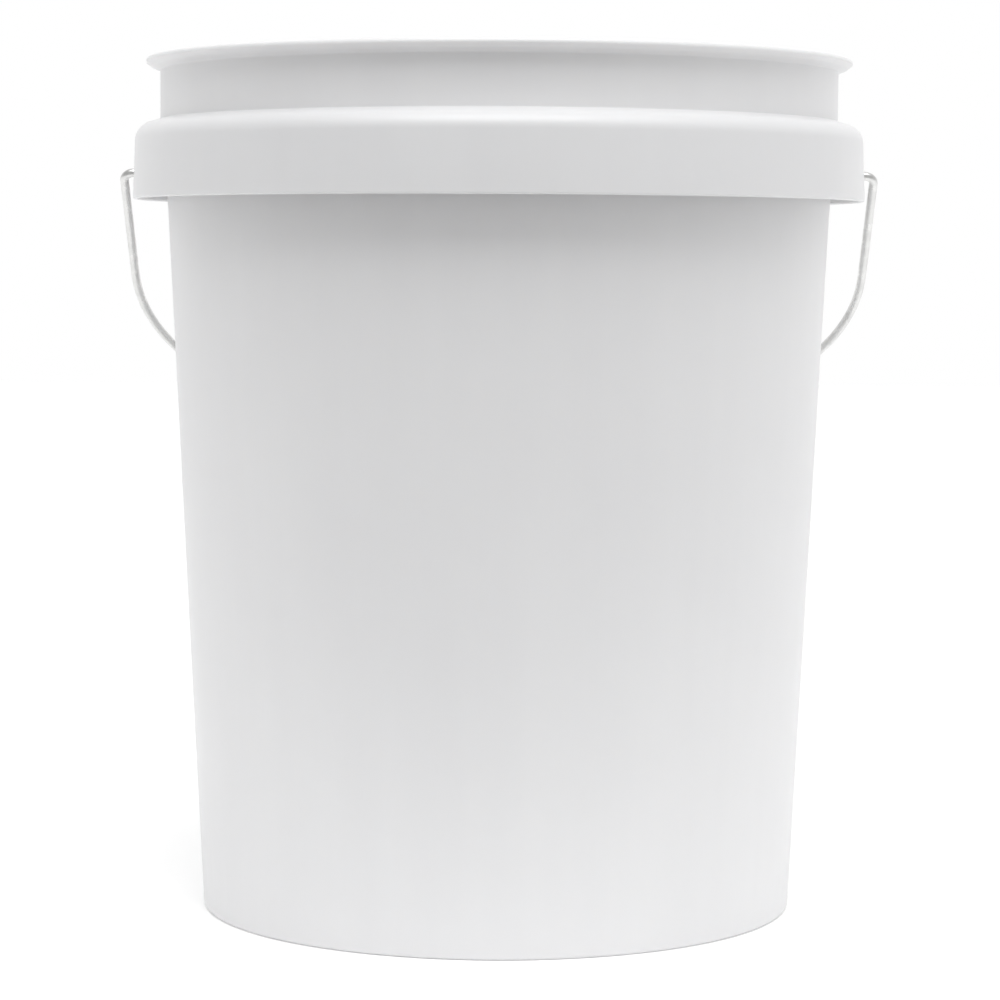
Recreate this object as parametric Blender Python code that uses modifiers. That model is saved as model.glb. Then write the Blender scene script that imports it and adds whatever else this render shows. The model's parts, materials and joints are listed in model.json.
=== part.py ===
"""Plastic pail for brewing: one moulded bucket, a steel wire bail and the tube grip on it.

Metres, +Z up. The origin is on the floor under the middle of the bucket. The bail turns about
a line along X through the two ears, and at rest it hangs behind the bucket, towards +Y, with
its grip against the wall.
"""
from math import atan, cos, degrees, pi, radians, sin, sqrt, tan

import bmesh
import bpy
from mathutils import Matrix, Vector

MM = 0.001

# Driving dimensions of the bucket
HEIGHT = 368.3 * MM
BASE_RADIUS = 128.65 * MM          # of the tapered wall, carried down to the floor
DRAFT = tan(radians(2.80))
WALL = 2.3 * MM
FLOOR_TOP = 5.0 * MM
FLOOR_BOTTOM = 2.2 * MM
FOOT_CORNER = 1.8 * MM             # radius between the wall and the foot ring
FOOT_WIDTH = 5.3 * MM
INSIDE_FILLET = 6.0 * MM
GATE_RADIUS = 6.0 * MM             # moulding gate, a dimple in the underside
GATE_DEPTH = 0.8 * MM
NECK_RADIUS = 146.7 * MM
NECK_STEP = (340.5 * MM, 345.5 * MM)
RIM_RADIUS = 152.8 * MM
RIM_ROUND = 1.5 * MM
RIM_UNDERSIDE = 5.4 * MM           # from the rim's top down to where its lip meets the neck
COLLAR_BOTTOM = 307.6 * MM
COLLAR_RADIUS = 158.6 * MM         # at its lower edge
COLLAR_DRAFT = tan(radians(2.0))
COLLAR_WALL = 2.0 * MM
SHOULDER_FOOT = 341.8 * MM         # height at which the shoulder meets the neck
SHOULDER_SLOPE = 0.28
SHOULDER_ROUND = 8.0 * MM
SHOULDER_WALL = 2.2 * MM
RIB_COUNT = 36
RIB_THICKNESS = 1.8 * MM
RIB_RECESS = 3.0 * MM              # the ribs stop this far above the collar's edge
TURN_STEPS = 64

# Driving dimensions of the ears, the bail and its grip
PIVOT_HEIGHT = 319.3 * MM
EAR_BOSS_RADIUS = 7.5 * MM
EAR_BOSS_DEPTH = 6.0 * MM
EAR_CLEARANCE = 0.4 * MM
WIRE_RADIUS = 1.9 * MM
HEAD_RADIUS = 3.5 * MM             # upset end of the wire, behind the ear
HEAD_LENGTH = 1.6 * MM
LEG_X = 163.6 * MM
LEG_LENGTH = 62.0 * MM
EAR_BEND = 4.5 * MM
SHOULDER_BEND = 85.0 * MM
SHOULDER_TURN = radians(36.0)
CORNER_BEND = 46.0 * MM
HANG_ANGLE = radians(45.0)         # from straight down, towards the back
GRIP_REACH = 208.3 * MM            # from the joint's axis to the grip's axis
GRIP_RADIUS = 10.0 * MM
GRIP_LENGTH = 94.0 * MM
GRIP_WALL = 1.8 * MM
GRIP_WEBS = 4
HUB_RADIUS = 3.9 * MM


def clear_scene():
    for obj in list(bpy.data.objects):
        bpy.data.objects.remove(obj)


def collection(name):
    made = bpy.data.collections.new(name)
    bpy.context.scene.collection.children.link(made)
    return made


def material(name, colour, roughness, metallic):
    made = bpy.data.materials.new(name)
    made.use_nodes = True
    shader = made.node_tree.nodes["Principled BSDF"]
    shader.inputs["Base Color"].default_value = (*colour, 1.0)
    shader.inputs["Roughness"].default_value = roughness
    shader.inputs["Metallic"].default_value = metallic
    return made


def arc(centre, radius, start, end, steps):
    """Points on an arc, both ends included. Angles are in degrees, from the first axis."""
    angles = [radians(start + (end - start) * i / steps) for i in range(steps + 1)]
    return [(centre[0] + radius * cos(a), centre[1] + radius * sin(a)) for a in angles]


def outer_radius(z):
    """Outer radius of the tapered wall."""
    return BASE_RADIUS + DRAFT * z


def inner_radius(z):
    return outer_radius(z) - WALL


def inside_profile():
    """From the middle of the floor up to the inner edge of the rim."""
    corner = inner_radius(FLOOR_TOP + INSIDE_FILLET) - INSIDE_FILLET
    step_foot, step_top = NECK_STEP
    fillet = arc((corner, FLOOR_TOP + INSIDE_FILLET), INSIDE_FILLET, -90, 0, 4)
    neck = NECK_RADIUS - WALL
    return [(0.0, FLOOR_TOP), *fillet, (inner_radius(step_foot), step_foot),
            (neck, step_top), *arc((neck + 1.2 * MM, HEIGHT - 1.2 * MM), 1.2 * MM, 180, 90, 2)]


def rim_profile():
    """The lid lip, from its flat top over the tip and back under to the neck."""
    tip = arc((RIM_RADIUS - RIM_ROUND, HEIGHT - RIM_ROUND), RIM_ROUND, 90, -20, 4)
    knee = (NECK_RADIUS + 3.9 * MM, HEIGHT - RIM_UNDERSIDE + 1.6 * MM)
    return [*tip, knee, (NECK_RADIUS, HEIGHT - RIM_UNDERSIDE)]


def collar_radius(z):
    return COLLAR_RADIUS - COLLAR_DRAFT * (z - COLLAR_BOTTOM)


def shoulder_height(radius):
    """Height of the sloping top of the collar."""
    return SHOULDER_FOOT - SHOULDER_SLOPE * (radius - NECK_RADIUS)


def collar_profile():
    """Shoulder, skirt, its rounded lower edge, and back up inside the skirt to the wall."""
    centre_r = collar_radius(SHOULDER_FOOT) - SHOULDER_ROUND
    slope_length = sqrt(1 + SHOULDER_SLOPE ** 2)
    centre_z = shoulder_height(centre_r) - SHOULDER_ROUND * slope_length
    slope_normal = 90 - degrees(atan(SHOULDER_SLOPE))
    shoulder = arc((centre_r, centre_z), SHOULDER_ROUND, slope_normal, 2, 5)
    edge = COLLAR_WALL / 2
    edge_r = collar_radius(COLLAR_BOTTOM) - edge
    lower_edge = arc((edge_r, COLLAR_BOTTOM + edge), edge, 0, -180, 4)
    inner_top = centre_z + 0.5 * MM
    under_slope = SHOULDER_WALL * slope_length
    inner_corner = collar_radius(inner_top) - COLLAR_WALL - 3.0 * MM
    wall_top = shoulder_height(outer_radius(SHOULDER_FOOT)) - under_slope
    return [(NECK_RADIUS, SHOULDER_FOOT), *shoulder, *lower_edge,
            (collar_radius(inner_top) - COLLAR_WALL, inner_top),
            (inner_corner, shoulder_height(inner_corner) - under_slope),
            (outer_radius(wall_top), wall_top)]


def base_profile():
    """Down the wall's foot, across the foot ring and in under the raised floor."""
    corner_r = outer_radius(FOOT_CORNER) - FOOT_CORNER
    corner = arc((corner_r, FOOT_CORNER), FOOT_CORNER, 0, -90, 4)
    ring = corner_r - FOOT_WIDTH
    return [*corner, (ring, 0.0), (ring - 1.0 * MM, FLOOR_BOTTOM),
            (GATE_RADIUS, FLOOR_BOTTOM),
            (GATE_RADIUS - GATE_DEPTH, FLOOR_BOTTOM + GATE_DEPTH),
            (0.0, FLOOR_BOTTOM + GATE_DEPTH)]


def turned(name, profile, where):
    """A profile of (radius, height) points turned about Z by a Screw modifier."""
    mesh = bpy.data.meshes.new(name)
    vertices = [(r, 0.0, z) for r, z in profile]
    edges = [(i, i + 1) for i in range(len(profile) - 1)]
    mesh.from_pydata(vertices, edges, [])
    obj = bpy.data.objects.new(name, mesh)
    where.objects.link(obj)
    screw = obj.modifiers.new("turn", "SCREW")
    screw.steps = TURN_STEPS
    screw.render_steps = TURN_STEPS
    screw.use_merge_vertices = True
    screw.merge_threshold = 0.00001
    return obj


def hide_cutter(obj):
    obj.hide_render = True
    obj.display_type = "WIRE"


def rib_outline():
    """One stiffening rib as (radius, height) points, let into the wall, shoulder and skirt."""
    foot = COLLAR_BOTTOM + RIB_RECESS
    inner = outer_radius(COLLAR_BOTTOM) - 0.5 * MM
    outer = COLLAR_RADIUS - 1.3 * MM
    under = SHOULDER_WALL / 2
    bend = outer - 3.6 * MM
    skirt_top = shoulder_height(bend) - under - 4.2 * MM
    return [(inner, foot), (outer, foot), (outer - 0.3 * MM, skirt_top),
            (bend, shoulder_height(bend) - under),
            (inner + 1.0 * MM, shoulder_height(inner + 1.0 * MM) - 1.6 * MM)]


def make_ribs(where):
    """Ribs between the skirt and the wall, half a pitch off the ears, as one cutter object."""
    curve = bpy.data.curves.new("rib_outline", "CURVE")
    curve.dimensions = "2D"
    curve.fill_mode = "BOTH"
    curve.extrude = RIB_THICKNESS / 2
    outline = rib_outline()
    spline = curve.splines.new("POLY")
    spline.points.add(len(outline) - 1)
    for point, (r, z) in zip(spline.points, outline):
        point.co = (r, z, 0.0, 1.0)
    spline.use_cyclic_u = True
    flat = bpy.data.objects.new("rib_outline", curve)
    where.objects.link(flat)
    one = mesh_of(flat)
    bm = bmesh.new()
    for i in range(RIB_COUNT):
        first = len(bm.verts)
        bm.from_mesh(one)
        bm.verts.ensure_lookup_table()
        turn = Matrix.Rotation((i + 0.5) * 2 * pi / RIB_COUNT, 4, "Z")
        place = turn @ Matrix.Rotation(pi / 2, 4, "X")
        bmesh.ops.transform(bm, matrix=place, verts=bm.verts[first:])
    mesh = bpy.data.meshes.new("ribs")
    bm.to_mesh(mesh)
    bm.free()
    ribs = bpy.data.objects.new("ribs", mesh)
    where.objects.link(ribs)
    hide_cutter(ribs)
    return ribs


def mesh_of(curve_object):
    """The curve object's mesh with its caps welded. The curve object is removed."""
    graph = bpy.context.evaluated_depsgraph_get()
    mesh = bpy.data.meshes.new_from_object(curve_object.evaluated_get(graph))
    bm = bmesh.new()
    bm.from_mesh(mesh)
    bmesh.ops.remove_doubles(bm, verts=bm.verts, dist=0.00001)
    bmesh.ops.recalc_face_normals(bm, faces=bm.faces)
    bm.to_mesh(mesh)
    bm.free()
    bpy.data.objects.remove(curve_object)
    return mesh


def make_rod(name, radius, x_from, x_to, sides, where):
    """A rod along X on the bail's axis, used to add the ear bosses and to drill them."""
    mesh = bpy.data.meshes.new(name)
    bm = bmesh.new()
    bmesh.ops.create_cone(bm, cap_ends=True, segments=sides, radius1=radius, radius2=radius,
                          depth=abs(x_to - x_from), matrix=Matrix.Rotation(pi / 2, 4, "Y"))
    bm.to_mesh(mesh)
    bm.free()
    rod = bpy.data.objects.new(name, mesh)
    rod.location = ((x_from + x_to) / 2, 0.0, PIVOT_HEIGHT)
    where.objects.link(rod)
    hide_cutter(rod)
    return rod


def boolean(obj, cutter, operation):
    step = obj.modifiers.new(cutter.name, "BOOLEAN")
    step.operation = operation
    step.solver = "EXACT"
    step.object = cutter


def shade(obj):
    obj.data.shade_smooth()
    obj.data.set_sharp_from_angle(angle=radians(35))


def make_bucket(parts, cutters):
    profile = inside_profile() + rim_profile() + collar_profile() + base_profile()
    bucket = turned("bucket_body", profile, parts)
    boolean(bucket, make_ribs(cutters), "UNION")
    skirt_outside = collar_radius(PIVOT_HEIGHT)
    for side, label in ((1, "right"), (-1, "left")):
        boss_end = side * (skirt_outside - EAR_BOSS_DEPTH)
        in_skirt = side * (skirt_outside - 0.8 * MM)
        boss = make_rod(f"ear_boss_{label}", EAR_BOSS_RADIUS, boss_end, in_skirt, 24, cutters)
        boolean(bucket, boss, "UNION")
        hole_radius = WIRE_RADIUS + EAR_CLEARANCE
        hole_from = side * (skirt_outside - EAR_BOSS_DEPTH - 1.0 * MM)
        hole_to = side * (skirt_outside + 2.0 * MM)
        hole = make_rod(f"ear_hole_{label}", hole_radius, hole_from, hole_to, 20, cutters)
        boolean(bucket, hole, "DIFFERENCE")
    bucket.data.materials.append(material("white_plastic", (0.86, 0.86, 0.87), 0.38, 0.0))
    shade(bucket)


def half_bail():
    """One half of the bail, from its head to the middle, as (x, reach, radius factor) points."""
    head_out = collar_radius(PIVOT_HEIGHT) - EAR_BOSS_DEPTH - 0.7 * MM
    head_in = head_out - HEAD_LENGTH
    head = HEAD_RADIUS / WIRE_RADIUS
    chamfer = 0.4 * MM
    points = [(head_in, 0.0, head * 0.85), (head_in + chamfer, 0.0, head),
              (head_out, 0.0, head), (head_out + 0.1 * MM, 0.0, 1.0)]
    ear = arc((LEG_X - EAR_BEND, EAR_BEND), EAR_BEND, -90, 0, 5)
    shoulder = arc((LEG_X - SHOULDER_BEND, LEG_LENGTH), SHOULDER_BEND, 0,
                   SHOULDER_TURN * 180 / pi, 6)
    last_x, last_reach = shoulder[-1]
    corner_turn = pi / 2 - SHOULDER_TURN
    corner_rise = CORNER_BEND * (1 - sin(SHOULDER_TURN))
    run = (GRIP_REACH - corner_rise - last_reach) / cos(SHOULDER_TURN)
    corner_x = last_x - run * sin(SHOULDER_TURN) - CORNER_BEND * cos(SHOULDER_TURN)
    corner = arc((corner_x, GRIP_REACH - CORNER_BEND), CORNER_BEND,
                 SHOULDER_TURN * 180 / pi, (SHOULDER_TURN + corner_turn) * 180 / pi, 7)
    points += [(x, reach, 1.0) for x, reach in ear + shoulder + corner]
    return points


def make_bail(parts):
    """The bail hangs straight down in its own frame, with its origin on the joint's axis."""
    curve = bpy.data.curves.new("bail_wire", "CURVE")
    curve.dimensions = "3D"
    curve.bevel_depth = WIRE_RADIUS
    curve.bevel_resolution = 2
    curve.use_fill_caps = True
    half = half_bail()
    other_half = [(-x, reach, factor) for x, reach, factor in reversed(half)]
    spline = curve.splines.new("POLY")
    spline.points.add(len(half) * 2 - 1)
    for point, (x, reach, factor) in zip(spline.points, half + other_half):
        point.co = (x, 0.0, -reach, 1.0)
        point.radius = factor
    bail = bpy.data.objects.new("bail_wire", curve)
    parts.objects.link(bail)
    bail.location = (0.0, 0.0, PIVOT_HEIGHT)
    bail.rotation_euler = (HANG_ANGLE, 0.0, 0.0)
    curve.materials.append(material("galvanised_steel", (0.70, 0.71, 0.72), 0.35, 1.0))
    return bail


def add_outline(curve, points):
    spline = curve.splines.new("POLY")
    spline.points.add(len(points) - 1)
    for point, (x, y) in zip(spline.points, points):
        point.co = (x, y, 0.0, 1.0)
    spline.use_cyclic_u = True


def circle(radius, sides):
    return arc((0.0, 0.0), radius, 0, 360, sides)[:-1]


def pocket_outline(index):
    """One of the long pockets between the grip's shell, its hub and two of its webs."""
    middle = (index + 0.5) * 360 / GRIP_WEBS
    half = 180 / GRIP_WEBS
    outer = GRIP_RADIUS - GRIP_WALL
    web = 0.8 * MM
    outer_half = half - web / outer * 180 / pi
    inner_half = half - web / HUB_RADIUS * 180 / pi
    outside = arc((0.0, 0.0), outer, middle - outer_half, middle + outer_half, 6)
    inside = arc((0.0, 0.0), HUB_RADIUS, middle + inner_half, middle - inner_half, 4)
    return outside + inside


def make_grip(parts, bail):
    """A tube with a hub on the wire, four webs, and pockets that run right through."""
    curve = bpy.data.curves.new("hand_grip", "CURVE")
    curve.dimensions = "2D"
    curve.fill_mode = "BOTH"
    curve.extrude = GRIP_LENGTH / 2
    add_outline(curve, circle(GRIP_RADIUS, 32))
    add_outline(curve, circle(WIRE_RADIUS + EAR_CLEARANCE, 16))
    for index in range(GRIP_WEBS):
        add_outline(curve, pocket_outline(index))
    flat = bpy.data.objects.new("grip_outline", curve)
    parts.objects.link(flat)
    grip = bpy.data.objects.new("hand_grip", mesh_of(flat))
    parts.objects.link(grip)
    grip.parent = bail
    grip.location = (0.0, 0.0, -GRIP_REACH)
    grip.rotation_euler = (0.0, pi / 2, 0.0)
    grip.data.materials.append(material("grip_plastic", (0.84, 0.84, 0.83), 0.45, 0.0))
    shade(grip)


def main():
    clear_scene()
    parts = collection("plastic_pail")
    cutters = collection("cutters")
    make_bucket(parts, cutters)
    bail = make_bail(parts)
    make_grip(parts, bail)


main()
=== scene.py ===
"""Looks for the plastic brewing bucket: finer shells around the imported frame, materials, studio.

Metres, +Z up, in the frame's own coordinates. The shell rides on body "bucket", the wire on
body "bail" and the grip on body "grip". The floor is part of the studio.
"""
import json
from math import atan2, cos, hypot, pi, radians, sin, sqrt, tan

import bmesh
import bpy
from mathutils import Matrix, Vector, noise


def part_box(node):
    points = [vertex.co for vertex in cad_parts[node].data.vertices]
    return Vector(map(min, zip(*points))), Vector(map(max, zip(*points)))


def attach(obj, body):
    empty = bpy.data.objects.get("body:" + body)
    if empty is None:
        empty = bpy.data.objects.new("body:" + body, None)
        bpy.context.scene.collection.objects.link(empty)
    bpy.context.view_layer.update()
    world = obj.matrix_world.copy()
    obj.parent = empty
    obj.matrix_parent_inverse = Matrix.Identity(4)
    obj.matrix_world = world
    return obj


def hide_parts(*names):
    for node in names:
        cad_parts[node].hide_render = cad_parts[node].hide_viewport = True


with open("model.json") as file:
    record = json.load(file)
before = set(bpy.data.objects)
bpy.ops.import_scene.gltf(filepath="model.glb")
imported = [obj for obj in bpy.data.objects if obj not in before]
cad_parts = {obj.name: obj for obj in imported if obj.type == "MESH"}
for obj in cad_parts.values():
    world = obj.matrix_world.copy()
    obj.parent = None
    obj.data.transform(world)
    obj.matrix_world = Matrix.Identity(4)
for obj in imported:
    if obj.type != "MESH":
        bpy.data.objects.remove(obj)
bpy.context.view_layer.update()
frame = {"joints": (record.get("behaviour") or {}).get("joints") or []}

MM = 0.001
_, BUCKET_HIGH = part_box("bucket_body")
_, WIRE_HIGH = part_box("bail_wire")
GRIP_LOW, GRIP_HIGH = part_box("hand_grip")
JOINTS = {joint["name"]: joint for joint in frame["joints"]}
PIVOT = Vector(JOINTS["bail_swing"]["pos_m"])
GRIP_CENTRE = Vector(JOINTS["grip_spin"]["pos_m"])

# How finely shapes are made, and how far cutters run past what they cut
TURN_STEPS = 256
LONGEST_FACE = 12.0 * MM
MERGE_DISTANCE = 0.01 * MM
CUT_PAST = 1.0 * MM

# The bucket's floor, foot and wall
HEIGHT = BUCKET_HIGH.z
BASE_RADIUS = 128.65 * MM
DRAFT = tan(radians(2.80))
WALL = 2.3 * MM
FLOOR_TOP = 5.0 * MM
FLOOR_BOTTOM = 2.2 * MM
INSIDE_FILLET = 6.0 * MM
FOOT_CORNER = 1.8 * MM
FOOT_WIDTH = 5.3 * MM
FOOT_EDGE_ROUND = 0.5 * MM
FOOT_SLOPE = 1.0 * MM
FOOT_SLOPE_ROUND = 0.6 * MM
GATE_RADIUS = 6.0 * MM
GATE_DEPTH = 0.8 * MM
GATE_ROUND = 0.3 * MM

# The neck and the rim. The rim's underside comes in from its upright edge to a knee, then on
# to the neck.
NECK_RADIUS = 146.7 * MM
NECK_STEP = (340.5 * MM, 345.5 * MM)
NECK_STEP_ROUND = 6.0 * MM
RIM_RADIUS = 152.8 * MM
RIM_DEPTH = 5.4 * MM
RIM_INSIDE_ROUND = 1.2 * MM
RIM_TOP_ROUND = 1.7 * MM
RIM_EDGE = 2.1 * MM
RIM_EDGE_ROUND = 0.7 * MM
RIM_KNEE_OUT = 3.9 * MM
RIM_KNEE_UP = 1.6 * MM
RIM_KNEE_ROUND = 1.5 * MM
RIM_ROOT_ROUND = 0.8 * MM

# The collar: a skirt hung from a sloping shoulder
COLLAR_RADIUS = BUCKET_HIGH.x
COLLAR_BOTTOM = 307.6 * MM
COLLAR_DRAFT = tan(radians(2.0))
COLLAR_WALL = 2.0 * MM
COLLAR_OUTSIDE_ROUND = 1.0 * MM
COLLAR_INSIDE_ROUND = 0.9 * MM
SHOULDER_FOOT = 341.8 * MM
SHOULDER_FOOT_ROUND = 0.6 * MM
SHOULDER_SLOPE = 0.28
SHOULDER_WALL = 2.2 * MM
SHOULDER_ROUND = 8.0 * MM
UNDER_CORNER = 337.0 * MM
UNDER_CORNER_ROUND = 3.0 * MM
WALL_TOP_ROUND = 1.2 * MM

# The ribs inside the collar. Their edges are sunk into the walls round them.
RIB_COUNT = 36
RIB_THICKNESS = 1.8 * MM
RIB_RECESS = 3.0 * MM
RIB_ROOT_SUNK = 0.5 * MM
RIB_EDGE_INSET = 1.3 * MM
RIB_EDGE_LEAN = 0.3 * MM
RIB_CORNER_IN = 3.6 * MM
RIB_CORNER_DOWN = 4.2 * MM
RIB_HEAD_OUT = 1.0 * MM
RIB_HEAD_DOWN = 1.6 * MM

# The slow waves in the wall, and how far they take to fade at its foot and top
WAVE_HEIGHT = 0.16 * MM
WAVE_SCALE = 1.6
WAVE_AROUND = 1.1
WAVE_UP = 3.2
WAVE_TOP = COLLAR_BOTTOM - 20.0 * MM
WAVE_FOOT_FADE = 30.0 * MM
WAVE_TOP_FADE = 40.0 * MM
WAVE_REACH_IN = 8.0 * MM

# The ears and the bail
EAR_BOSS_RADIUS = 7.5 * MM
EAR_BOSS_DEPTH = 6.0 * MM
EAR_BOSS_SUNK = 0.8 * MM
EAR_COUNTERSINK = 0.45 * MM
WIRE_HOLE_RADIUS = 2.3 * MM
WIRE_RADIUS = 1.89 * MM
WIRE_SIDES = 24
WIRE_LONGEST = 6.0 * MM
HEAD_RADIUS = 3.45 * MM
HEAD_LENGTH = 1.6 * MM
HEAD_CLEARANCE = 0.7 * MM
LEG_X = WIRE_HIGH.x - 1.9 * MM
LEG_LENGTH = 62.0 * MM
EAR_BEND = 4.5 * MM
SHOULDER_BEND = 85.0 * MM
SHOULDER_TURN = radians(36.0)
CORNER_BEND = 46.0 * MM
BAIL_DIRECTION = (GRIP_CENTRE - PIVOT).normalized()

# The grip: a tube with a plain band at each end, flutes between, and a hub inside on webs
GRIP_REACH = (GRIP_CENTRE - PIVOT).length
GRIP_RADIUS = (GRIP_HIGH.z - GRIP_LOW.z) / 2
GRIP_LENGTH = GRIP_HIGH.x - GRIP_LOW.x
GRIP_STEPS = 160
GRIP_LONGEST = 2.0 * MM
GRIP_WALL = 1.8 * MM
GRIP_WEBS = 4
WEB = 1.6 * MM
HUB_RADIUS = 3.9 * MM
POCKET_STEPS = 10
POCKET_ROUND = 0.5 * MM
BAND_INSET = 0.05 * MM
BAND_LENGTH = 4.0 * MM
BAND_ROUND = 0.9 * MM
BAND_FOOT_ROUND = 0.5 * MM
TUBE_INSET = 0.55 * MM
TUBE_START = 4.8 * MM
TUBE_START_ROUND = 0.8 * MM
FLUTES = 20
FLUTE_DEPTH = 0.42 * MM
FLUTE_SHARPNESS = 0.8
FLUTE_END = 11.0 * MM
FLUTE_FADE = 5.0 * MM
FLUTE_REACH_IN = 1.5 * MM
SEAM_HEIGHT = 0.05 * MM
SEAM_HALF_ANGLE = 0.02

# The materials' darkest and lightest tones, and their roughness where the noise is low and high
PLASTIC_DARK = (0.766, 0.766, 0.774)
PLASTIC_LIGHT = (0.790, 0.790, 0.796)
PLASTIC_ROUGHNESS = (0.29, 0.38)
SCUFF_ROUGHNESS = 0.16
SCUFF_TOP = 50.0 * MM
GRIP_DARK = (0.74, 0.74, 0.73)
GRIP_LIGHT = (0.79, 0.79, 0.78)
GRIP_ROUGHNESS = (0.42, 0.55)
STEEL_DARK = (0.63, 0.63, 0.62)
STEEL_LIGHT = (0.76, 0.76, 0.75)
STEEL_ROUGHNESS = (0.36, 0.26)
TABLE_TONE = (0.93, 0.93, 0.93, 1)
WHITE = (1, 1, 1, 1)

# The camera and the studio
CAMERA_DISTANCE = 1.4112
CAMERA_HEIGHT = 0.2814
CAMERA_SIDE = 0.0011
CAMERA_PITCH = radians(4.231)
CAMERA_ROLL = radians(0.267)
CAMERA_LENS = 116.0
CAMERA_SENSOR = 36.0
TABLE_REACH = 6.0
TABLE_FRONT = 0.33
TABLE_ROUGHNESS = 0.9
TABLE_GLOW = 0.13
WORLD_EVEN = 0.512
WORLD_BEHIND = 0.568
WORLD_RIGHT = 0.120
SUN_DISTANCE = 3


# ---------------------------------------------------------------- small mesh tools

def outer_radius(z):
    return BASE_RADIUS + DRAFT * z


def inner_radius(z):
    return outer_radius(z) - WALL


def collar_radius(z):
    return COLLAR_RADIUS - COLLAR_DRAFT * (z - COLLAR_BOTTOM)


def shoulder_height(radius):
    return SHOULDER_FOOT - SHOULDER_SLOPE * (radius - NECK_RADIUS)


def rounded(corners, longest=LONGEST_FACE):
    """An outline through (x, y, radius, steps) corners, each one rounded but the first, the
    last and those of radius 0. Longer stretches are divided into about that length."""
    points = []
    for i, (x, y, radius, steps) in enumerate(corners):
        corner = Vector((x, y))
        if radius == 0 or i in (0, len(corners) - 1):
            points.append(corner)
            continue
        u = (Vector(corners[i - 1][:2]) - corner).normalized()
        v = (Vector(corners[i + 1][:2]) - corner).normalized()
        half = u.angle(v) / 2
        centre = corner + (u + v).normalized() * (radius / sin(half))
        start = corner + u * (radius / tan(half)) - centre
        turn = (corner + v * (radius / tan(half)) - centre).angle_signed(start)
        for k in range(steps + 1):
            a = turn * k / steps
            spun = (start.x * cos(a) - start.y * sin(a), start.x * sin(a) + start.y * cos(a))
            points.append(centre + Vector(spun))
    divided = [points[0]]
    for a, b in zip(points, points[1:]):
        count = max(1, round((b - a).length / longest))
        divided += [a.lerp(b, k / count) for k in range(1, count + 1)]
    return [(p.x, p.y) for p in divided]


def add_object(name, data):
    obj = bpy.data.objects.new(name, data)
    bpy.context.scene.collection.objects.link(obj)
    return obj


def object_from(name, bm):
    """A new object with a finished bmesh, which is freed."""
    mesh = bpy.data.meshes.new(name)
    bm.to_mesh(mesh)
    bm.free()
    return add_object(name, mesh)


def applied(obj, name):
    """A new object with obj's evaluated mesh. obj is removed."""
    graph = bpy.context.evaluated_depsgraph_get()
    mesh = bpy.data.meshes.new_from_object(obj.evaluated_get(graph))
    made = add_object(name, mesh)
    made.matrix_world = obj.matrix_world
    bpy.data.objects.remove(obj)
    return made


def turned(name, outline, steps, axis="Z"):
    """An outline of (radius, height) points turned about an axis."""
    mesh = bpy.data.meshes.new(name)
    if axis == "Z":
        vertices = [(r, 0.0, z) for r, z in outline]
    else:
        vertices = [(z, 0.0, r) for r, z in outline]
    mesh.from_pydata(vertices, [(i, i + 1) for i in range(len(outline) - 1)], [])
    obj = add_object(name, mesh)
    screw = obj.modifiers.new("turn", "SCREW")
    screw.axis = axis
    screw.steps = steps
    screw.render_steps = steps
    screw.use_merge_vertices = True
    screw.merge_threshold = MERGE_DISTANCE
    return obj


def rod(name, radius, x_from, x_to, sides, chamfer=0.0):
    """A rod along X on the bail's axis. With a chamfer its far end flares out."""
    bm = bmesh.new()
    turn = Matrix.Rotation(pi / 2, 4, "Y")
    depth = abs(x_to - x_from)
    ends = (radius + chamfer, radius) if x_to < x_from else (radius, radius + chamfer)
    bmesh.ops.create_cone(bm, cap_ends=True, segments=sides, radius1=ends[0], radius2=ends[1],
                          depth=depth, matrix=turn)
    obj = object_from(name, bm)
    obj.location = ((x_from + x_to) / 2, 0.0, PIVOT.z)
    return obj


def extrude(bm, face, way):
    """Draws a face out along a vector into a prism."""
    grown = bmesh.ops.extrude_face_region(bm, geom=[face])
    moved = [v for v in grown["geom"] if isinstance(v, bmesh.types.BMVert)]
    bmesh.ops.translate(bm, verts=moved, vec=way)


def boolean(obj, cutter, operation):
    step = obj.modifiers.new(cutter.name, "BOOLEAN")
    step.operation = operation
    step.solver = "EXACT"
    step.object = cutter


def weld(obj):
    """Joins points that coincide and turns the faces outwards."""
    bm = bmesh.new()
    bm.from_mesh(obj.data)
    bmesh.ops.remove_doubles(bm, verts=bm.verts, dist=MERGE_DISTANCE)
    bmesh.ops.recalc_face_normals(bm, faces=bm.faces)
    bm.to_mesh(obj.data)
    bm.free()


def smooth(obj, degrees):
    """Shades an object smooth, apart from edges sharper than the angle."""
    obj.data.shade_smooth()
    obj.data.set_sharp_from_angle(angle=radians(degrees))


def coat(obj, material):
    """Gives an object one material only."""
    obj.data.materials.clear()
    obj.data.materials.append(material)


# ---------------------------------------------------------------- the bucket

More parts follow.
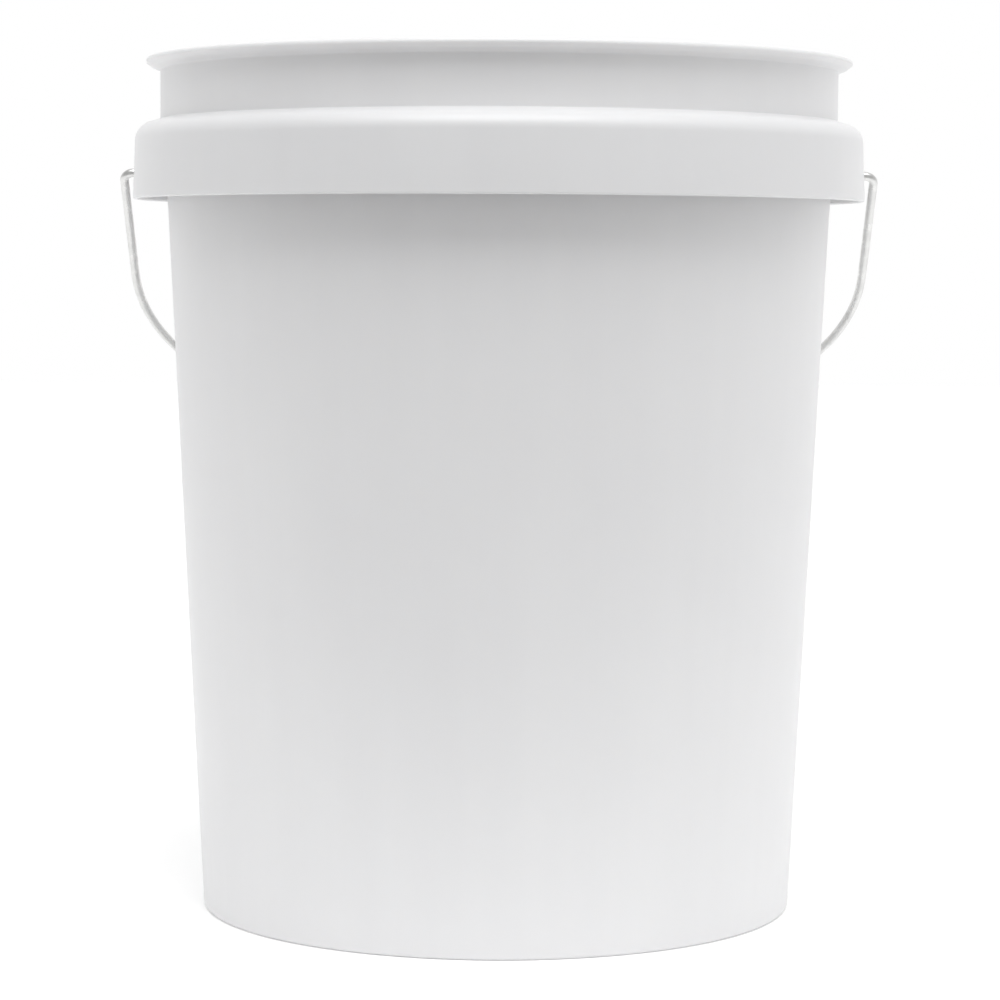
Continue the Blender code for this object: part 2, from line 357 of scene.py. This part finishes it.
def bucket_outline():
    """The whole section from the middle of the floor, over the rim, round the collar and down
    to the middle of the underside, from corners of (radius, height, round, steps)."""
    neck_inside = NECK_RADIUS - WALL
    skirt_top = collar_radius(SHOULDER_FOOT)
    skirt_foot = collar_radius(COLLAR_BOTTOM)
    under_corner = collar_radius(UNDER_CORNER) - COLLAR_WALL
    under_drop = SHOULDER_WALL * sqrt(1 + SHOULDER_SLOPE ** 2)
    wall_top = shoulder_height(outer_radius(SHOULDER_FOOT)) - under_drop
    ring_outside = outer_radius(FOOT_CORNER) - FOOT_CORNER
    ring_inside = ring_outside - FOOT_WIDTH
    gate_top = FLOOR_BOTTOM + GATE_DEPTH
    return rounded([
        (0.0, FLOOR_TOP, 0, 0),
        (inner_radius(FLOOR_TOP), FLOOR_TOP, INSIDE_FILLET, 8),
        (inner_radius(NECK_STEP[0]), NECK_STEP[0], NECK_STEP_ROUND, 4),
        (neck_inside, NECK_STEP[1], NECK_STEP_ROUND, 4),
        (neck_inside, HEIGHT, RIM_INSIDE_ROUND, 6),
        (RIM_RADIUS, HEIGHT, RIM_TOP_ROUND, 8),
        (RIM_RADIUS, HEIGHT - RIM_EDGE, RIM_EDGE_ROUND, 4),
        (NECK_RADIUS + RIM_KNEE_OUT, HEIGHT - RIM_DEPTH + RIM_KNEE_UP, RIM_KNEE_ROUND, 4),
        (NECK_RADIUS, HEIGHT - RIM_DEPTH, RIM_ROOT_ROUND, 5),
        (NECK_RADIUS, SHOULDER_FOOT, SHOULDER_FOOT_ROUND, 5),
        (skirt_top, shoulder_height(skirt_top), SHOULDER_ROUND, 16),
        (skirt_foot, COLLAR_BOTTOM, COLLAR_OUTSIDE_ROUND, 8),
        (skirt_foot - COLLAR_WALL, COLLAR_BOTTOM, COLLAR_INSIDE_ROUND, 5),
        (under_corner, shoulder_height(under_corner) - under_drop, UNDER_CORNER_ROUND, 5),
        (outer_radius(wall_top), wall_top, WALL_TOP_ROUND, 4),
        (outer_radius(0.0), 0.0, FOOT_CORNER, 12),
        (ring_inside, 0.0, FOOT_EDGE_ROUND, 3),
        (ring_inside - FOOT_SLOPE, FLOOR_BOTTOM, FOOT_SLOPE_ROUND, 3),
        (GATE_RADIUS, FLOOR_BOTTOM, GATE_ROUND, 2),
        (GATE_RADIUS - GATE_DEPTH, gate_top, GATE_ROUND, 2),
        (0.0, gate_top, 0, 0)])


def make_ribs():
    """The stiffening ribs inside the collar, let into the wall, the shoulder and the skirt."""
    foot = COLLAR_BOTTOM + RIB_RECESS
    inner = outer_radius(COLLAR_BOTTOM) - RIB_ROOT_SUNK
    outer = COLLAR_RADIUS - RIB_EDGE_INSET
    bend = outer - RIB_CORNER_IN
    bend_top = shoulder_height(bend) - SHOULDER_WALL / 2
    head = inner + RIB_HEAD_OUT
    outline = [(inner, foot), (outer, foot), (outer - RIB_EDGE_LEAN, bend_top - RIB_CORNER_DOWN),
               (bend, bend_top), (head, shoulder_height(head) - RIB_HEAD_DOWN)]
    bm = bmesh.new()
    for i in range(RIB_COUNT):
        turn = Matrix.Rotation((i + 0.5) * 2 * pi / RIB_COUNT, 4, "Z")
        face = bm.faces.new([bm.verts.new(turn @ Vector((r, -RIB_THICKNESS / 2, z)))
                             for r, z in outline])
        extrude(bm, face, turn @ Vector((0, RIB_THICKNESS, 0)))
    bmesh.ops.recalc_face_normals(bm, faces=bm.faces)
    return object_from("ribs", bm)


def settle_wall(obj):
    """The slow waves that cooling leaves in a moulded wall, well under the wall's thickness."""
    for vertex in obj.data.vertices:
        x, y, z = vertex.co
        radius = hypot(x, y)
        if radius < BASE_RADIUS - WAVE_REACH_IN or z > WAVE_TOP or z < FOOT_CORNER:
            continue
        fade = min(1.0, (WAVE_TOP - z) / WAVE_TOP_FADE, (z - FOOT_CORNER) / WAVE_FOOT_FADE)
        angle = atan2(y, x)
        spot = Vector((cos(angle) * WAVE_AROUND, sin(angle) * WAVE_AROUND, z * WAVE_UP))
        wave = noise.noise(spot * WAVE_SCALE) * WAVE_HEIGHT * fade
        vertex.co.x += wave * x / radius
        vertex.co.y += wave * y / radius


def make_bucket(material):
    """The turned shell with its ribs and, on each side, an ear boss with its hole."""
    shell = turned("bucket_turned", bucket_outline(), TURN_STEPS)
    tools = [(make_ribs(), "UNION")]
    face = collar_radius(PIVOT.z)
    boss_inside = face - EAR_BOSS_DEPTH
    for side in (1, -1):
        boss = rod("ear_boss", EAR_BOSS_RADIUS, side * boss_inside,
                   side * (face - EAR_BOSS_SUNK), sides=48)
        hole = rod("ear_hole", WIRE_HOLE_RADIUS, side * (boss_inside - CUT_PAST),
                   side * (face + 2 * CUT_PAST), sides=40)
        sink = rod("ear_sink", WIRE_HOLE_RADIUS, side * (face - EAR_COUNTERSINK),
                   side * (face + EAR_COUNTERSINK), sides=40, chamfer=2 * EAR_COUNTERSINK)
        tools += [(boss, "UNION"), (hole, "DIFFERENCE"), (sink, "DIFFERENCE")]
    for tool, operation in tools:
        boolean(shell, tool, operation)
    bucket = applied(shell, "bucket_shell")
    for tool, _ in tools:
        bpy.data.objects.remove(tool)
    settle_wall(bucket)
    smooth(bucket, degrees=32)
    coat(bucket, material)
    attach(bucket, "bucket")
    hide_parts("bucket_body")
    return bucket


# ---------------------------------------------------------------- the bail

def head_line(start, end):
    """The upset head from its back to just past its face, as (x, reach, radius): round behind,
    nearly flat in front, then down to the wire."""
    return [
        (start, 0, 0.3 * HEAD_RADIUS), (start + 0.05 * MM, 0, 0.8 * HEAD_RADIUS),
        (start + 0.25 * MM, 0, 0.95 * HEAD_RADIUS), (start + 0.6 * MM, 0, HEAD_RADIUS),
        (end - 0.3 * MM, 0, HEAD_RADIUS), (end, 0, 0.93 * HEAD_RADIUS),
        (end + 0.05 * MM, 0, 1.05 * WIRE_RADIUS), (end + 0.5 * MM, 0, WIRE_RADIUS)]


def bail_half():
    """Half of the bail's centre line in its own plane, from the head to the middle, as
    (x, reach) points, with the wire's radius at each."""
    head_out = collar_radius(PIVOT.z) - EAR_BOSS_DEPTH - HEAD_CLEARANCE
    corner_rise = CORNER_BEND * (1 - sin(SHOULDER_TURN))
    shoulder_x = LEG_X - SHOULDER_BEND * (1 - cos(SHOULDER_TURN))
    shoulder_reach = LEG_LENGTH + SHOULDER_BEND * sin(SHOULDER_TURN)
    run = (GRIP_REACH - corner_rise - shoulder_reach) / cos(SHOULDER_TURN)
    end_x = shoulder_x - run * sin(SHOULDER_TURN)
    end_reach = shoulder_reach + run * cos(SHOULDER_TURN)
    shoulder_corner = LEG_LENGTH + SHOULDER_BEND * tan(SHOULDER_TURN / 2)
    past = CORNER_BEND * tan((pi / 2 - SHOULDER_TURN) / 2)
    corner_x = end_x - past * sin(SHOULDER_TURN)
    corner_reach = end_reach + past * cos(SHOULDER_TURN)
    bends = rounded([
        (head_out + 0.6 * MM, 0.0, 0, 0),
        (LEG_X, 0.0, EAR_BEND, 14),
        (LEG_X, shoulder_corner, SHOULDER_BEND, 24),
        (corner_x, corner_reach, CORNER_BEND, 24),
        (0.0, GRIP_REACH, 0, 0)], longest=WIRE_LONGEST)
    head = head_line(head_out - HEAD_LENGTH, head_out)
    return head + [(x, reach, WIRE_RADIUS) for x, reach in bends]


def wire_rings(bm, middle, radii):
    """A ring of points round each place along the wire's middle."""
    across = Vector((1, 0, 0)).cross(BAIL_DIRECTION).normalized()
    rings = []
    for i, place in enumerate(middle):
        before, after = middle[max(i - 1, 0)], middle[min(i + 1, len(middle) - 1)]
        forward = (after - before).normalized()
        normal = forward.cross(across).normalized()
        rings.append([bm.verts.new(place + radii[i] * (cos(a) * normal + sin(a) * across))
                      for a in (2 * pi * k / WIRE_SIDES for k in range(WIRE_SIDES))])
    return rings


def make_bail(material):
    """The wire swept along its centre line, with UVs that run along and around it."""
    half = bail_half()
    line = half + [(-x, reach, r) for x, reach, r in reversed(half[:-1])]
    middle = [PIVOT + Vector((x, 0, 0)) + BAIL_DIRECTION * reach for x, reach, _ in line]
    run = [0.0]
    for before, after in zip(middle, middle[1:]):
        run.append(run[-1] + (after - before).length)
    bm = bmesh.new()
    uv = bm.loops.layers.uv.new("along")
    rings = wire_rings(bm, middle, [radius for _, _, radius in line])
    for i in range(len(rings) - 1):
        for k in range(WIRE_SIDES):
            n = (k + 1) % WIRE_SIDES
            face = bm.faces.new((rings[i][k], rings[i + 1][k], rings[i + 1][n], rings[i][n]))
            corners = ((run[i], k), (run[i + 1], k), (run[i + 1], k + 1), (run[i], k + 1))
            for loop, (along, step) in zip(face.loops, corners):
                loop[uv].uv = (along, step / WIRE_SIDES)
    bm.faces.new(rings[0])
    bm.faces.new(reversed(rings[-1]))
    bmesh.ops.recalc_face_normals(bm, faces=bm.faces)
    bail = object_from("bail", bm)
    smooth(bail, degrees=50)
    coat(bail, material)
    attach(bail, "bail")
    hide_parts("bail_wire")
    return bail


# ---------------------------------------------------------------- the grip

def tube_outline(sign):
    """From the middle of one end of the grip to the middle of its length, as (radius, x)."""
    half = GRIP_LENGTH / 2 * sign
    band = GRIP_RADIUS - BAND_INSET
    tube = GRIP_RADIUS - TUBE_INSET
    return rounded([
        (0.0, half, 0, 0),
        (band, half, BAND_ROUND, 6),
        (band, half - sign * BAND_LENGTH, BAND_FOOT_ROUND, 4),
        (tube, half - sign * TUBE_START, TUBE_START_ROUND, 4),
        (tube, 0.0, 0, 0)], longest=GRIP_LONGEST)


def flute(obj):
    """Shallow flutes along the tube that run out before its ends, and its two parting lines,
    which show where the flutes don't."""
    run_out = GRIP_LENGTH / 2 - FLUTE_END
    for vertex in obj.data.vertices:
        x, y, z = vertex.co
        radius = hypot(y, z)
        if radius < GRIP_RADIUS - FLUTE_REACH_IN or abs(x) > GRIP_LENGTH / 2 - FLUTE_REACH_IN:
            continue
        angle = atan2(z, y)
        fade = min(1.0, max(0.0, (run_out - abs(x)) / FLUTE_FADE))
        fade = fade * fade * (3 - 2 * fade)
        groove = max(0.0, cos(angle * FLUTES)) ** FLUTE_SHARPNESS * FLUTE_DEPTH * fade
        seam = SEAM_HEIGHT if abs(sin(angle)) < SEAM_HALF_ANGLE else 0.0
        scale = (radius - groove + seam * (1 - fade)) / radius
        vertex.co.y = y * scale
        vertex.co.z = z * scale


def pocket(index):
    """A rounded pocket between the shell, the hub and two webs, as a prism through the tube."""
    middle = (index + 0.5) * 2 * pi / GRIP_WEBS
    shell = GRIP_RADIUS - GRIP_WALL
    edges = ((shell, WEB / 2 / shell), (HUB_RADIUS, WEB / 2 / HUB_RADIUS))
    outline = []
    for radius, web_angle in edges:
        half = pi / GRIP_WEBS - web_angle
        sweep = [half * (2 * k / POCKET_STEPS - 1) for k in range(POCKET_STEPS + 1)]
        if radius == HUB_RADIUS:
            sweep.reverse()
        outline += [(radius * cos(middle + a), radius * sin(middle + a)) for a in sweep]
    bm = bmesh.new()
    start = -GRIP_LENGTH / 2 - CUT_PAST
    face = bm.faces.new([bm.verts.new((start, y, z)) for y, z in outline])
    extrude(bm, face, (GRIP_LENGTH + 2 * CUT_PAST, 0, 0))
    corners = [e for e in bm.edges if abs(e.verts[0].co.x - e.verts[1].co.x) > GRIP_LENGTH
               and e.calc_face_angle(0.0) > radians(50)]
    bmesh.ops.bevel(bm, geom=corners, offset=POCKET_ROUND, segments=3, affect="EDGES")
    bmesh.ops.recalc_face_normals(bm, faces=bm.faces)
    return object_from("pocket", bm)


def make_grip(material):
    """The fluted tube with a band at each end, a hub on the wire, and webs in between. It is
    made along X at the origin, then turned and moved to its place on the bail."""
    left, right = tube_outline(-1), tube_outline(1)
    outline = left + right[-2::-1]
    tube = turned("grip_turned", outline, GRIP_STEPS, axis="X")
    tube = applied(tube, "grip_solid")
    weld(tube)
    flute(tube)
    bore_end = GRIP_LENGTH / 2 + CUT_PAST
    bore = rod("grip_bore", WIRE_HOLE_RADIUS, -bore_end, bore_end, sides=32)
    bore.location.z = 0.0
    tools = [pocket(index) for index in range(GRIP_WEBS)] + [bore]
    for tool in tools:
        boolean(tube, tool, "DIFFERENCE")
    grip = applied(tube, "grip")
    for tool in tools:
        bpy.data.objects.remove(tool)
    hang = Matrix.Rotation(atan2(BAIL_DIRECTION.y, -BAIL_DIRECTION.z), 4, "X")
    grip.data.transform(Matrix.Translation(GRIP_CENTRE) @ hang)
    smooth(grip, degrees=38)
    coat(grip, material)
    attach(grip, "grip")
    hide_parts("hand_grip")
    return grip


# ---------------------------------------------------------------- materials

def new_material(name):
    made = bpy.data.materials.new(name)
    made.use_nodes = True
    tree = made.node_tree
    return made, tree, tree.nodes["Principled BSDF"]


def add(tree, kind, **values):
    """A new node. Each value goes to the input of that name, or else to the property."""
    node = tree.nodes.new(kind)
    for key, value in values.items():
        if key in node.inputs:
            node.inputs[key].default_value = value
        else:
            setattr(node, key, value)
    return node


def spread(tree, source, low, high, from_low=0.3, from_high=0.7):
    """A value stretched so that from_low to from_high becomes low to high."""
    node = add(tree, "ShaderNodeMapRange")
    node.inputs["From Min"].default_value = from_low
    node.inputs["From Max"].default_value = from_high
    node.inputs["To Min"].default_value = low
    node.inputs["To Max"].default_value = high
    tree.links.new(source, node.inputs["Value"])
    return node.outputs["Result"]


def noise_at(tree, place, scale, stretch=(1, 1, 1), detail=3.0, roughness=0.5):
    """Noise over the given coordinates. A stretch under 1 draws it out along that axis."""
    mapping = add(tree, "ShaderNodeMapping")
    mapping.inputs["Scale"].default_value = stretch
    tree.links.new(place, mapping.inputs["Vector"])
    node = add(tree, "ShaderNodeTexNoise", Scale=scale, Detail=detail, Roughness=roughness)
    tree.links.new(mapping.outputs["Vector"], node.inputs["Vector"])
    return node.outputs["Fac"]


def math(tree, operation, first, second):
    node = add(tree, "ShaderNodeMath", operation=operation)
    for socket, value in zip(node.inputs, (first, second)):
        if isinstance(value, (int, float)):
            socket.default_value = value
        else:
            tree.links.new(value, socket)
    return node.outputs["Value"]


def weighted(tree, first, first_weight, second, second_weight):
    """The sum of two values, each times its weight."""
    return math(tree, "ADD", math(tree, "MULTIPLY", first, first_weight),
                math(tree, "MULTIPLY", second, second_weight))


def tone_between(tree, factor, dark, light):
    ramp = add(tree, "ShaderNodeValToRGB")
    ramp.color_ramp.elements[0].color = (*dark, 1)
    ramp.color_ramp.elements[1].color = (*light, 1)
    tree.links.new(factor, ramp.inputs["Fac"])
    return ramp.outputs["Color"]


def bump(tree, shader, heights):
    """Layers of (height, strength, distance), coarse first, into the shader's normal."""
    normal = None
    for height, strength, distance in heights:
        node = add(tree, "ShaderNodeBump", Strength=strength, Distance=distance)
        tree.links.new(height, node.inputs["Height"])
        if normal:
            tree.links.new(normal, node.inputs["Normal"])
        normal = node.outputs["Normal"]
    tree.links.new(normal, shader.inputs["Normal"])


def make_waxy(shader, ior, weight, depth):
    """Lets a little light into a plastic, red deepest. The depth is in metres."""
    shader.inputs["IOR"].default_value = ior
    shader.inputs["Subsurface Weight"].default_value = weight
    shader.inputs["Subsurface Radius"].default_value = (1.0, 0.95, 0.9)
    shader.inputs["Subsurface Scale"].default_value = depth


def white_plastic():
    """Moulded polyethylene: pale and waxy, with flow streaks up the wall, a fine orange peel,
    scuffs near the foot and a little light going into it."""
    made, tree, shader = new_material("white_polyethylene")
    place = add(tree, "ShaderNodeTexCoord").outputs["Object"]
    make_waxy(shader, ior=1.52, weight=0.35, depth=4.0 * MM)
    cloud = noise_at(tree, place, 9.0, detail=4.0, roughness=0.55)
    streak = noise_at(tree, place, 55.0, stretch=(1, 1, 0.06))
    tone = weighted(tree, cloud, 0.6, streak, 0.4)
    tree.links.new(tone_between(tree, spread(tree, tone, 0.0, 1.0, 0.35, 0.65),
                                PLASTIC_DARK, PLASTIC_LIGHT), shader.inputs["Base Color"])
    smear = noise_at(tree, place, 38.0, stretch=(1, 1, 0.5), detail=6.0, roughness=0.6)
    scratch = noise_at(tree, place, 420.0, stretch=(1, 1, 0.04), detail=2.0)
    height = add(tree, "ShaderNodeSeparateXYZ")
    tree.links.new(place, height.inputs["Vector"])
    near_foot = spread(tree, height.outputs["Z"], 1.0, 0.0, 0.0, SCUFF_TOP)
    scuff = math(tree, "MULTIPLY", spread(tree, scratch, 0.0, SCUFF_ROUGHNESS, 0.5, 0.72),
                 near_foot)
    rough = math(tree, "ADD", spread(tree, smear, *PLASTIC_ROUGHNESS), scuff)
    tree.links.new(rough, shader.inputs["Roughness"])
    peel = noise_at(tree, place, 520.0)
    flow = noise_at(tree, place, 90.0, stretch=(1, 1, 0.12), detail=2.0)
    bump(tree, shader, [(flow, 0.10, 0.4 * MM), (peel, 0.06, 0.3 * MM)])
    return made


def grip_plastic():
    """The grip's plastic: a matt moulding texture, cloudy in tone and in roughness."""
    made, tree, shader = new_material("grip_polyethylene")
    place = add(tree, "ShaderNodeTexCoord").outputs["Object"]
    make_waxy(shader, ior=1.5, weight=0.2, depth=3.0 * MM)
    cloud = noise_at(tree, place, 60.0, stretch=(0.4, 1, 1), detail=4.0, roughness=0.55)
    tree.links.new(tone_between(tree, spread(tree, cloud, 0.0, 1.0),
                                GRIP_DARK, GRIP_LIGHT), shader.inputs["Base Color"])
    tree.links.new(spread(tree, cloud, *GRIP_ROUGHNESS), shader.inputs["Roughness"])
    grain = noise_at(tree, place, 1900.0, detail=2.0)
    bump(tree, shader, [(cloud, 0.15, 0.3 * MM), (grain, 0.35, 0.12 * MM)])
    return made


def galvanised_steel():
    """Drawn and galvanised wire: bright, with die marks along it and a dull zinc mottle."""
    made, tree, shader = new_material("galvanised_steel")
    uv = add(tree, "ShaderNodeUVMap", uv_map="along").outputs["UV"]
    place = add(tree, "ShaderNodeTexCoord").outputs["Object"]
    shader.inputs["Metallic"].default_value = 1.0
    mottle = noise_at(tree, place, 190.0)
    marks = noise_at(tree, uv, 3.0, stretch=(6, 60, 1))
    tone = weighted(tree, mottle, 0.55, marks, 0.45)
    tree.links.new(tone_between(tree, spread(tree, tone, 0.0, 1.0, 0.32, 0.62),
                                STEEL_DARK, STEEL_LIGHT), shader.inputs["Base Color"])
    tree.links.new(spread(tree, tone, *STEEL_ROUGHNESS, 0.32, 0.62), shader.inputs["Roughness"])
    bump(tree, shader, [(mottle, 0.02, 0.2 * MM), (marks, 0.06, 0.12 * MM)])
    return made


# ---------------------------------------------------------------- the studio

def make_camera():
    data = bpy.data.cameras.new("camera")
    data.lens = CAMERA_LENS
    data.sensor_width = CAMERA_SENSOR
    camera = add_object("camera", data)
    place = Matrix.Translation((CAMERA_SIDE, -CAMERA_DISTANCE, CAMERA_HEIGHT))
    tilt = Matrix.Rotation(pi / 2 - CAMERA_PITCH, 4, "X")
    camera.matrix_world = place @ tilt @ Matrix.Rotation(CAMERA_ROLL, 4, "Z")
    bpy.context.scene.camera = camera


def make_floor():
    """A pale table top, glowing faintly, that runs far back and ends a little in front."""
    bm = bmesh.new()
    bmesh.ops.create_grid(bm, x_segments=1, y_segments=1, size=TABLE_REACH)
    for vertex in bm.verts:
        vertex.co.y = max(vertex.co.y, -TABLE_FRONT)
    floor = object_from("floor", bm)
    made, _, shader = new_material("floor_white")
    shader.inputs["Base Color"].default_value = TABLE_TONE
    shader.inputs["Roughness"].default_value = TABLE_ROUGHNESS
    shader.inputs["Emission Color"].default_value = WHITE
    shader.inputs["Emission Strength"].default_value = TABLE_GLOW
    coat(floor, made)


def make_world():
    """Even light from all round, rising to about twice that from straight behind, and a little
    more from the right. The camera sees it as plain white."""
    world = bpy.data.worlds.new("studio")
    world.use_nodes = True
    tree = world.node_tree
    lit = tree.nodes["Background"]
    direction = add(tree, "ShaderNodeSeparateXYZ")
    link = tree.links.new
    link(add(tree, "ShaderNodeTexCoord").outputs["Generated"], direction.inputs["Vector"])
    behind = math(tree, "MAXIMUM", direction.outputs["Y"], 0.0)
    right = math(tree, "MAXIMUM", direction.outputs["X"], 0.0)
    more = weighted(tree, behind, WORLD_BEHIND, right, WORLD_RIGHT)
    lit.inputs["Color"].default_value = WHITE
    link(math(tree, "ADD", more, WORLD_EVEN), lit.inputs["Strength"])
    seen = add(tree, "ShaderNodeBackground", Color=WHITE, Strength=1.0)
    choose = add(tree, "ShaderNodeMixShader")
    link(add(tree, "ShaderNodeLightPath").outputs["Is Camera Ray"], choose.inputs["Fac"])
    link(lit.outputs["Background"], choose.inputs[1])
    link(seen.outputs["Background"], choose.inputs[2])
    link(choose.outputs["Shader"], tree.nodes["World Output"].inputs["Surface"])
    bpy.context.scene.world = world


def add_light(name, data, place):
    """A light at place, turned to the middle of the bucket's foot."""
    light = add_object(name, data)
    light.location = place
    light.rotation_euler = (-Vector(place)).to_track_quat("-Z", "Y").to_euler()
    return light


def overhead_sun(name, tilt, azimuth, spread_angle, strength):
    """A broad far light. Tilt is from straight above, azimuth from the front to the right, and
    all angles are in degrees."""
    data = bpy.data.lights.new(name, "SUN")
    data.energy = strength
    data.angle = radians(spread_angle)
    t, a = radians(tilt), radians(azimuth)
    towards = Vector((sin(t) * sin(a), -sin(t) * cos(a), cos(t)))
    add_light(name, data, SUN_DISTANCE * towards)


def soft_box(name, place, size, power):
    data = bpy.data.lights.new(name, "AREA")
    data.shape = "RECTANGLE"
    data.size, data.size_y = size
    data.energy = power
    add_light(name, data, place)


make_camera()
make_floor()
make_world()
overhead_sun("key", tilt=25, azimuth=0, spread_angle=40, strength=1.00)
overhead_sun("key_right", tilt=35, azimuth=60, spread_angle=40, strength=0.15)
soft_box("top_box", place=(0.0, -0.5, 1.3), size=(1.8, 0.9), power=5.5)
make_bucket(white_plastic())
make_bail(galvanised_steel())
make_grip(grip_plastic())
bpy.context.scene.view_settings.view_transform = "Standard"
